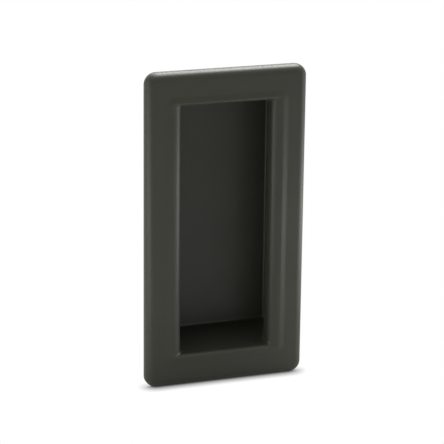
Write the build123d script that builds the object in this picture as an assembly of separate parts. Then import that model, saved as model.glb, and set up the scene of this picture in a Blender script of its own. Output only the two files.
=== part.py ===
from build123d import *
import math
import os

# Flush pull handle, moulded in one piece: a plate with a soft raised rim around a finger recess,
# and a closed pan behind it that snaps into a cut-out in a door, drawer or cover panel. The recess
# widens behind the two long sides of its mouth, so the fingertips hook behind a lip there.
#
# Millimetres. X runs across the plate, Z up its height and Y back into the panel. The origin is the
# middle of the seat, the plane where the back of the plate lies against the panel, so the front of
# the plate faces -Y. A depth is counted back from the front of the plate.

# Plate
plate_width = 62.0
plate_height = 120.0
plate_thickness = 4.0
plate_corner_radius = 4.4
plate_edge_radius = 3.0

# Finger opening, measured between the recess walls just behind the rolled mouth
opening_width = 34.6
opening_height = 94.6
opening_corner_radius = 1.2
roll_depth = 3.2
grip_roll_width = 3.9
end_roll_width = 1.4

# Raised rim around the opening
rim_height = 0.4
rim_land = 0.3
rim_slope_width = 1.9
rim_corner_radius = 1.2
rim_foot_radius = 4.0
rim_crest_radius = 2.0

# Finger recess, whose long walls stand back behind a grip lip and whose end walls draw in
recess_depth = 19.6
grip_lip_depth = 5.4
grip_undercut = 5.6
end_wall_draft = 13.0
recess_floor_radius = 0.8

# Pan around the recess
wall = 2.2
pan_corner_radius = 4.6

# The panel that the handle snaps into
panel_thickness = 2.0
cutout_width = 50.6
cutout_height = 103.4
cutout_clearance = 0.2

# Coring behind the plate, which keeps the moulding one wall thick
plate_skin = 2.2
lip_width = 2.8

# Ribs across the coring, each carried on as a gusset that centres the pan in the cut-out
rib_thickness = 1.6
gusset_length = 7.0
side_rib_count = 4
side_rib_spacing = 26.0
end_rib_count = 2
end_rib_spacing = 20.0

# Latches on the two long sides, which click behind the panel
latch_thickness = 1.8
latch_width = 11.0
latch_length = 7.5
latch_hook = 1.1
latch_hook_land = 0.8
latch_catch_slope = 0.3
latch_tip_relief = 0.7
latch_count = 2
latch_spacing = 52.0

# Sections that shape the rolled mouth
roll_steps = 10


def y_at(depth):
    """Y of a depth behind the front of the plate."""
    return depth - plate_thickness


def rounded_outline(depth, width, height, corner_radius):
    """A rounded rectangle facing the front, at a depth."""
    layer = Plane(origin=(0, y_at(depth), 0), x_dir=(1, 0, 0), z_dir=(0, -1, 0))
    return layer * RectangleRounded(width, height, corner_radius)


def opening_outline(depth, grow_width, grow_height, corner_radius):
    """The opening's outline at a depth, grown on every side by the given distances."""
    return rounded_outline(
        depth, opening_width + 2 * grow_width, opening_height + 2 * grow_height, corner_radius
    )


# Where the rim's land starts, outside the recess walls
land_across = grip_roll_width + rim_land
land_along = end_roll_width + rim_land


def plate():
    """The flat plate, with its front edge rounded all round."""
    blank = extrude(
        rounded_outline(plate_thickness, plate_width, plate_height, plate_corner_radius),
        amount=plate_thickness,
    )
    front = blank.faces().sort_by(Axis.Y)[0]
    return fillet(front.edges(), plate_edge_radius)


def rim():
    """The raised rim: a straight flank that climbs from its foot on the plate to a flat land."""
    foot = opening_outline(
        0,
        land_across + rim_slope_width,
        land_along + rim_slope_width,
        rim_corner_radius + rim_slope_width,
    )
    crest = opening_outline(-rim_height, land_across, land_along, rim_corner_radius)
    return loft([foot, crest], ruled=True)


def edges_on_front(body, depth):
    """The edges at a depth that belong to the rim, and not to the plate's own outline."""
    half_width = opening_width / 2 + land_across + rim_slope_width
    half_height = opening_height / 2 + land_along + rim_slope_width
    level = body.edges().filter_by_position(Axis.Y, y_at(depth), y_at(depth))
    across = level.filter_by_position(Axis.X, -half_width, half_width)
    return across.filter_by_position(Axis.Z, -half_height, half_height)


def soften_rim(body):
    """Blend the rim's flank into the plate at its foot and into the land at its crest."""
    body = fillet(edges_on_front(body, 0), rim_foot_radius)
    return fillet(edges_on_front(body, -rim_height), rim_crest_radius)


def mouth():
    """The rolled mouth as a void: wide on the long sides, where the fingers pull, and tight at the ends."""
    sections = []
    for step in range(roll_steps + 1):
        turn = math.radians(90 * step / roll_steps)
        left = 1 - math.sin(turn)
        sections.append(
            opening_outline(
                roll_depth * (1 - math.cos(turn)) - rim_height,
                grip_roll_width * left,
                end_roll_width * left,
                opening_corner_radius,
            )
        )
    return loft(sections)


# Where the rolled mouth ends and the drafted walls begin
mouth_depth = roll_depth - rim_height


def undercut(depth):
    """How far the long walls stand back behind the grip lip at a depth."""
    lean = grip_undercut / (recess_depth - grip_lip_depth)
    return max(depth - grip_lip_depth, 0) * lean


def draw_in(depth):
    """How far the drafted end walls have drawn in at a depth."""
    return (depth - mouth_depth) * math.tan(math.radians(end_wall_draft))


def prism(plane, points, length):
    """A prism of a closed outline in a middle plane, carried a length to both sides of it."""
    return extrude(plane * make_face(Polyline(points, close=True)), amount=length, both=True)


def runs_front_to_back(edge):
    """Whether an edge runs into the panel more than across it."""
    along = edge.tangent_at(0)
    return abs(along.Y) > math.hypot(along.X, along.Z)


def round_off_back(body, radius):
    """Round the edges of a body's rearmost face."""
    return fillet(body.faces().sort_by(Axis.Y)[-1].edges(), radius)


def recess():
    """The recess behind its mouth, as a void, down to its flat floor."""
    outlines = [
        opening_outline(depth, undercut(depth), -draw_in(depth), opening_corner_radius)
        for depth in (mouth_depth, grip_lip_depth, recess_depth)
    ]
    throat = loft(outlines[:2], ruled=True)
    chamber = loft(outlines[1:], ruled=True)
    return round_off_back(throat + chamber, recess_floor_radius)


def pan():
    """The outside of the pan: one wall outside the recess, from the plate's skin to its own floor."""
    pan_depth = recess_depth + wall
    across = [
        (opening_width / 2 + wall + undercut(depth), y_at(depth))
        for depth in (plate_skin, grip_lip_depth, pan_depth)
    ]
    along = [
        (y_at(depth), opening_height / 2 + wall - draw_in(depth)) for depth in (plate_skin, pan_depth)
    ]
    long_walls = prism(Plane.XY, across + [(-x, y) for x, y in reversed(across)], plate_height)
    end_walls = prism(Plane.YZ, along + [(y, -z) for y, z in reversed(along)], plate_width)
    body = long_walls & end_walls
    body = fillet(body.edges().filter_by(runs_front_to_back), pan_corner_radius)
    return round_off_back(body, recess_floor_radius + wall)


def coring():
    """The shallow hollow in the back of the plate, inside its lip, as a void."""
    return extrude(
        rounded_outline(
            plate_thickness,
            plate_width - 2 * lip_width,
            plate_height - 2 * lip_width,
            plate_corner_radius - lip_width,
        ),
        amount=plate_thickness - plate_skin,
    )


def spread_out(count, spacing):
    """Places of a row of equal features about the middle."""
    return [(i - (count - 1) / 2) * spacing for i in range(count)]


def rib_profile(opening_size, plate_size, cutout_size, stand_back):
    """Outline of a rib with its gusset: out from the wall to the plate's lip, and back to the pan."""
    root = y_at(plate_skin)
    wall_place = (opening_size + wall) / 2
    lip_place = plate_size / 2 - lip_width
    reach = cutout_size / 2 - cutout_clearance
    return [
        (wall_place, root),
        (lip_place, root),
        (lip_place, 0),
        (reach, 0),
        (reach, panel_thickness),
        (wall_place + stand_back, gusset_length),
    ]


def side_rib(side, height):
    """A rib on the left (-1) or right (1) side, at a height."""
    stand_back = undercut(plate_thickness + gusset_length)
    points = rib_profile(opening_width, plate_width, cutout_width, stand_back)
    return prism(Plane.XY.offset(height), [(side * out, y) for out, y in points], rib_thickness / 2)


def end_rib(side, across):
    """A rib at the bottom (-1) or top (1) end, at a place across the plate."""
    stand_back = -draw_in(plate_thickness + gusset_length)
    points = rib_profile(opening_height, plate_height, cutout_height, stand_back)
    return prism(Plane.YZ.offset(across), [(y, side * out) for out, y in points], rib_thickness / 2)


def latch(side, height):
    """A springy tongue with a hook, rooted in the plate's skin beside the pan."""
    outer = cutout_width / 2 - cutout_clearance
    inner = outer - latch_thickness
    catch = panel_thickness + cutout_clearance
    points = [
        (inner, y_at(plate_skin)),
        (outer, y_at(plate_skin)),
        (outer, catch),
        (outer + latch_hook, catch + latch_catch_slope),
        (outer + latch_hook, catch + latch_catch_slope + latch_hook_land),
        (outer - latch_tip_relief, latch_length),
        (inner, latch_length),
    ]
    return prism(Plane.XY.offset(height), [(side * x, y) for x, y in points], latch_width / 2)


def pull_handle():
    """The whole moulding."""
    body = soften_rim(plate() - coring() + pan() + rim())
    for side in (-1, 1):
        for height in spread_out(side_rib_count, side_rib_spacing):
            body += side_rib(side, height)
        for across in spread_out(end_rib_count, end_rib_spacing):
            body += end_rib(side, across)
        for height in spread_out(latch_count, latch_spacing):
            body += latch(side, height)
    return body - mouth() - recess()


os.makedirs("parts", exist_ok=True)
export_step(pull_handle(), "parts/pull_handle.step")
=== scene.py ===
import math

import bpy
from mathutils import Matrix, Vector


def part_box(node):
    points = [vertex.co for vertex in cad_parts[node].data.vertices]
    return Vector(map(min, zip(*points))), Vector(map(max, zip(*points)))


# A flush pull handle of dark grey moulded plastic, standing on its lower edge on a white floor.
#
# Metres and watts, in the frame of the part: X across the plate, Z up its height, Y back into the
# panel. An azimuth of 0 is in front of the plate, and 90 is to its right. Angles are in degrees.

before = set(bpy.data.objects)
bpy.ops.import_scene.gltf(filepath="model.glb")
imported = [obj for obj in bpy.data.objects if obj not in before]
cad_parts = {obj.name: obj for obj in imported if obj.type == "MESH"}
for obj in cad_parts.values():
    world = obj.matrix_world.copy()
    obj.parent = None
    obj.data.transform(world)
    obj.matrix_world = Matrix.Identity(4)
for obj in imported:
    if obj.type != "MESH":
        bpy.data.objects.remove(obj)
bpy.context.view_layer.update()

# Camera, to the left of the middle and above it
PICTURE_SIZE = 444
CAMERA_PLACE = (-0.24542, -0.68460, 0.22049)
CAMERA_YAW = 19.68
CAMERA_PITCH = 16.76
CAMERA_ROLL = 0.64
CAMERA_FOCAL_PIXELS = 2050.0
CAMERA_CLIP_START = 0.01
SENSOR_WIDTH_MM = 36.0

# Studio lamps. A kind of lamp is its distance from the handle, its width and its height. The near
# ones stand low, because the plate is brightest at half its height.
LAMP_AIM = (0.0, 0.005, 0.0)
FAR_LAMP = (0.90, 0.42, 0.34)
WIDE_LAMP = (0.90, 0.70, 0.30)
MIDDLE_LAMP = (0.35, 0.20, 0.20)
NEAR_LAMP = (0.14, 0.07, 0.05)

# Name, azimuth, elevation, power and kind
LAMPS = [
    ("high_right", 120, 65, 10.0, FAR_LAMP),
    ("top", 0, 90, 3.9, FAR_LAMP),
    ("high_left", -45, 65, 0.4, FAR_LAMP),
    ("back", 160, 50, 9.0, WIDE_LAMP),
    ("left", -90, 10, 1.9, FAR_LAMP),
    ("right", 75, 0, 0.25, MIDDLE_LAMP),
    ("near_left", -75, 0, 0.034, NEAR_LAMP),
    ("near_right", 85, -10, 0.05, NEAR_LAMP),
    ("low_left", -60, -15, 0.032, NEAR_LAMP),
    ("low_right", 60, -15, 0.0425, NEAR_LAMP),
]

WHITE = (1.0, 1.0, 1.0, 1.0)

# White floor: the grey that it throws back as light, and how far a painted shade reaches from the
# handle's foot, on the floor as it is seen and as the plastic mirrors it. This shade is painted into
# the floor's white glow by ambient occlusion and is not cast by the lamps.
FLOOR_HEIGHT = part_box("pull_handle")[0][2]
FLOOR_HALF_SIZE = 3.0
FLOOR_GREY = (0.8, 0.8, 0.8, 1.0)
FLOOR_SHADE_REACH = 0.004
MIRRORED_SHADE_REACH = 0.08

# Moulded plastic: a dark green-grey with soft clouds of tone and a fine matt mould grain. The clouds
# run between two colours, and the grain between two roughnesses.
PLASTIC_DARK = (0.0275, 0.0292, 0.0202, 1.0)
PLASTIC_LIGHT = (0.0305, 0.0324, 0.0225, 1.0)
PLASTIC_SPECULAR = 0.25
PLASTIC_ROUGHNESS_LOW = 0.38
PLASTIC_ROUGHNESS_HIGH = 0.46
CLOUD_SCALE = 60.0
CLOUD_DETAIL = 6.0
GRAIN_SCALE = 2400.0
GRAIN_DETAIL = 3.0
GRAIN_DEPTH = 0.00003
GRAIN_STRENGTH = 0.3

# The values that a noise pattern mostly keeps between
NOISE_LOW = 0.3
NOISE_HIGH = 0.7


def direction(azimuth, elevation):
    """Unit vector from the object towards a place in the studio."""
    turn = math.radians(azimuth)
    climb = math.radians(elevation)
    return Vector(
        (math.sin(turn) * math.cos(climb), -math.cos(turn) * math.cos(climb), math.sin(climb))
    )


def link(obj):
    """Put a new object into the scene."""
    bpy.context.scene.collection.objects.link(obj)
    return obj


def add_camera():
    """The camera, at the photograph's viewing angle."""
    data = bpy.data.cameras.new("camera")
    data.sensor_width = SENSOR_WIDTH_MM
    data.lens = CAMERA_FOCAL_PIXELS / PICTURE_SIZE * SENSOR_WIDTH_MM
    data.clip_start = CAMERA_CLIP_START
    camera = link(bpy.data.objects.new("camera", data))
    forward = direction(180 - CAMERA_YAW, -CAMERA_PITCH)
    right = forward.cross(Vector((0, 0, 1))).normalized()
    up = right.cross(forward)
    roll = math.radians(CAMERA_ROLL)
    axes = Matrix(
        (
            right * math.cos(roll) + up * math.sin(roll),
            up * math.cos(roll) - right * math.sin(roll),
            -forward,
        )
    )
    camera.matrix_world = Matrix.Translation(CAMERA_PLACE) @ axes.transposed().to_4x4()
    bpy.context.scene.camera = camera


def add_lamp(name, azimuth, elevation, power, kind):
    """A soft rectangular lamp that looks at the object."""
    distance, width, height = kind
    data = bpy.data.lights.new(name, "AREA")
    data.shape = "RECTANGLE"
    data.size = width
    data.size_y = height
    data.energy = power
    lamp = link(bpy.data.objects.new(name, data))
    towards = direction(azimuth, elevation)
    lamp.location = Vector(LAMP_AIM) + towards * distance
    lamp.rotation_mode = "QUATERNION"
    lamp.rotation_quaternion = towards.to_track_quat("Z", "Y")
    lamp.visible_camera = False


def seen_directly(tree):
    """A factor of 1 for rays that show the background: camera, mirror and transmission rays."""
    path = tree.nodes.new("ShaderNodeLightPath")
    factor = path.outputs["Is Camera Ray"]
    for kind in ("Is Glossy Ray", "Is Transmission Ray"):
        either = tree.nodes.new("ShaderNodeMath")
        either.operation = "MAXIMUM"
        tree.links.new(factor, either.inputs[0])
        tree.links.new(path.outputs[kind], either.inputs[1])
        factor = either.outputs[0]
    return factor


def shade(tree, reach):
    """Painted shade: an ambient occlusion factor that falls from 1 to 0 near the object, within a
    reach of it.
    """
    occlusion = tree.nodes.new("ShaderNodeAmbientOcclusion")
    occlusion.inputs["Distance"].default_value = reach
    return occlusion.outputs["AO"]


def floor_paper():
    """White paper with a painted shade near the object's foot, which throws back a plain pale grey
    light.
    """
    material = bpy.data.materials.new("floor_paper")
    material.use_nodes = True
    tree = material.node_tree
    bsdf = tree.nodes["Principled BSDF"]
    bsdf.inputs["Base Color"].default_value = FLOOR_GREY
    bsdf.inputs["Roughness"].default_value = 1.0
    bsdf.inputs["Specular IOR Level"].default_value = 0.0

    # Painted shade: ambient occlusion dims the floor's white glow near the handle's foot, at one
    # reach for camera rays and another for mirror rays
    path = tree.nodes.new("ShaderNodeLightPath")
    painted_shade_glow = tree.nodes.new("ShaderNodeMix")
    tree.links.new(path.outputs["Is Camera Ray"], painted_shade_glow.inputs["Factor"])
    tree.links.new(shade(tree, MIRRORED_SHADE_REACH), painted_shade_glow.inputs["A"])
    tree.links.new(shade(tree, FLOOR_SHADE_REACH), painted_shade_glow.inputs["B"])
    white = tree.nodes.new("ShaderNodeEmission")
    tree.links.new(painted_shade_glow.outputs["Result"], white.inputs["Strength"])

    # The factor picks the first shader at 0 and the second at 1
    mix = tree.nodes.new("ShaderNodeMixShader")
    tree.links.new(seen_directly(tree), mix.inputs["Fac"])
    tree.links.new(bsdf.outputs["BSDF"], mix.inputs[1])
    tree.links.new(white.outputs["Emission"], mix.inputs[2])
    tree.links.new(mix.outputs["Shader"], tree.nodes["Material Output"].inputs["Surface"])
    return material


def add_floor():
    """The floor that the handle stands on."""
    mesh = bpy.data.meshes.new("floor")
    half = FLOOR_HALF_SIZE
    corners = [(-half, -half), (half, -half), (half, half), (-half, half)]
    mesh.from_pydata([(x, y, FLOOR_HEIGHT) for x, y in corners], [], [(0, 1, 2, 3)])
    mesh.materials.append(floor_paper())
    link(bpy.data.objects.new("floor", mesh))


def add_world():
    """The studio around the object: white where it is seen or mirrored, and not a lamp itself."""
    world = bpy.data.worlds.new("studio")
    world.use_nodes = True
    tree = world.node_tree
    background = tree.nodes["Background"]
    background.inputs["Color"].default_value = WHITE
    tree.links.new(seen_directly(tree), background.inputs["Strength"])
    bpy.context.scene.world = world


def noise(tree, scale, detail):
    """A noise pattern laid out in the part's own metres."""
    coordinates = tree.nodes.new("ShaderNodeTexCoord")
    pattern = tree.nodes.new("ShaderNodeTexNoise")
    pattern.inputs["Scale"].default_value = scale
    pattern.inputs["Detail"].default_value = detail
    tree.links.new(coordinates.outputs["Object"], pattern.inputs["Vector"])
    return pattern.outputs["Fac"]


def moulded_plastic():
    """The plastic, whose grain shows in its gloss and as a very shallow bump."""
    material = bpy.data.materials.new("moulded_plastic")
    material.use_nodes = True
    tree = material.node_tree
    bsdf = tree.nodes["Principled BSDF"]
    bsdf.inputs["Specular IOR Level"].default_value = PLASTIC_SPECULAR

    tone = tree.nodes.new("ShaderNodeValToRGB")
    dark, light = tone.color_ramp.elements
    dark.position = NOISE_LOW
    dark.color = PLASTIC_DARK
    light.position = NOISE_HIGH
    light.color = PLASTIC_LIGHT
    tree.links.new(noise(tree, CLOUD_SCALE, CLOUD_DETAIL), tone.inputs["Fac"])
    tree.links.new(tone.outputs["Color"], bsdf.inputs["Base Color"])

    grain = noise(tree, GRAIN_SCALE, GRAIN_DETAIL)
    gloss = tree.nodes.new("ShaderNodeMapRange")
    gloss.inputs["From Min"].default_value = NOISE_LOW
    gloss.inputs["From Max"].default_value = NOISE_HIGH
    gloss.inputs["To Min"].default_value = PLASTIC_ROUGHNESS_LOW
    gloss.inputs["To Max"].default_value = PLASTIC_ROUGHNESS_HIGH
    tree.links.new(grain, gloss.inputs["Value"])
    tree.links.new(gloss.outputs["Result"], bsdf.inputs["Roughness"])

    bump = tree.nodes.new("ShaderNodeBump")
    bump.inputs["Strength"].default_value = GRAIN_STRENGTH
    bump.inputs["Distance"].default_value = GRAIN_DEPTH
    tree.links.new(grain, bump.inputs["Height"])
    tree.links.new(bump.outputs["Normal"], bsdf.inputs["Normal"])
    return material


add_camera()
for lamp in LAMPS:
    add_lamp(*lamp)
add_floor()
add_world()
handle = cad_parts["pull_handle"]
plastic = moulded_plastic()
for slot in handle.material_slots:
    slot.material = plastic
bpy.context.scene.view_settings.view_transform = "Standard"
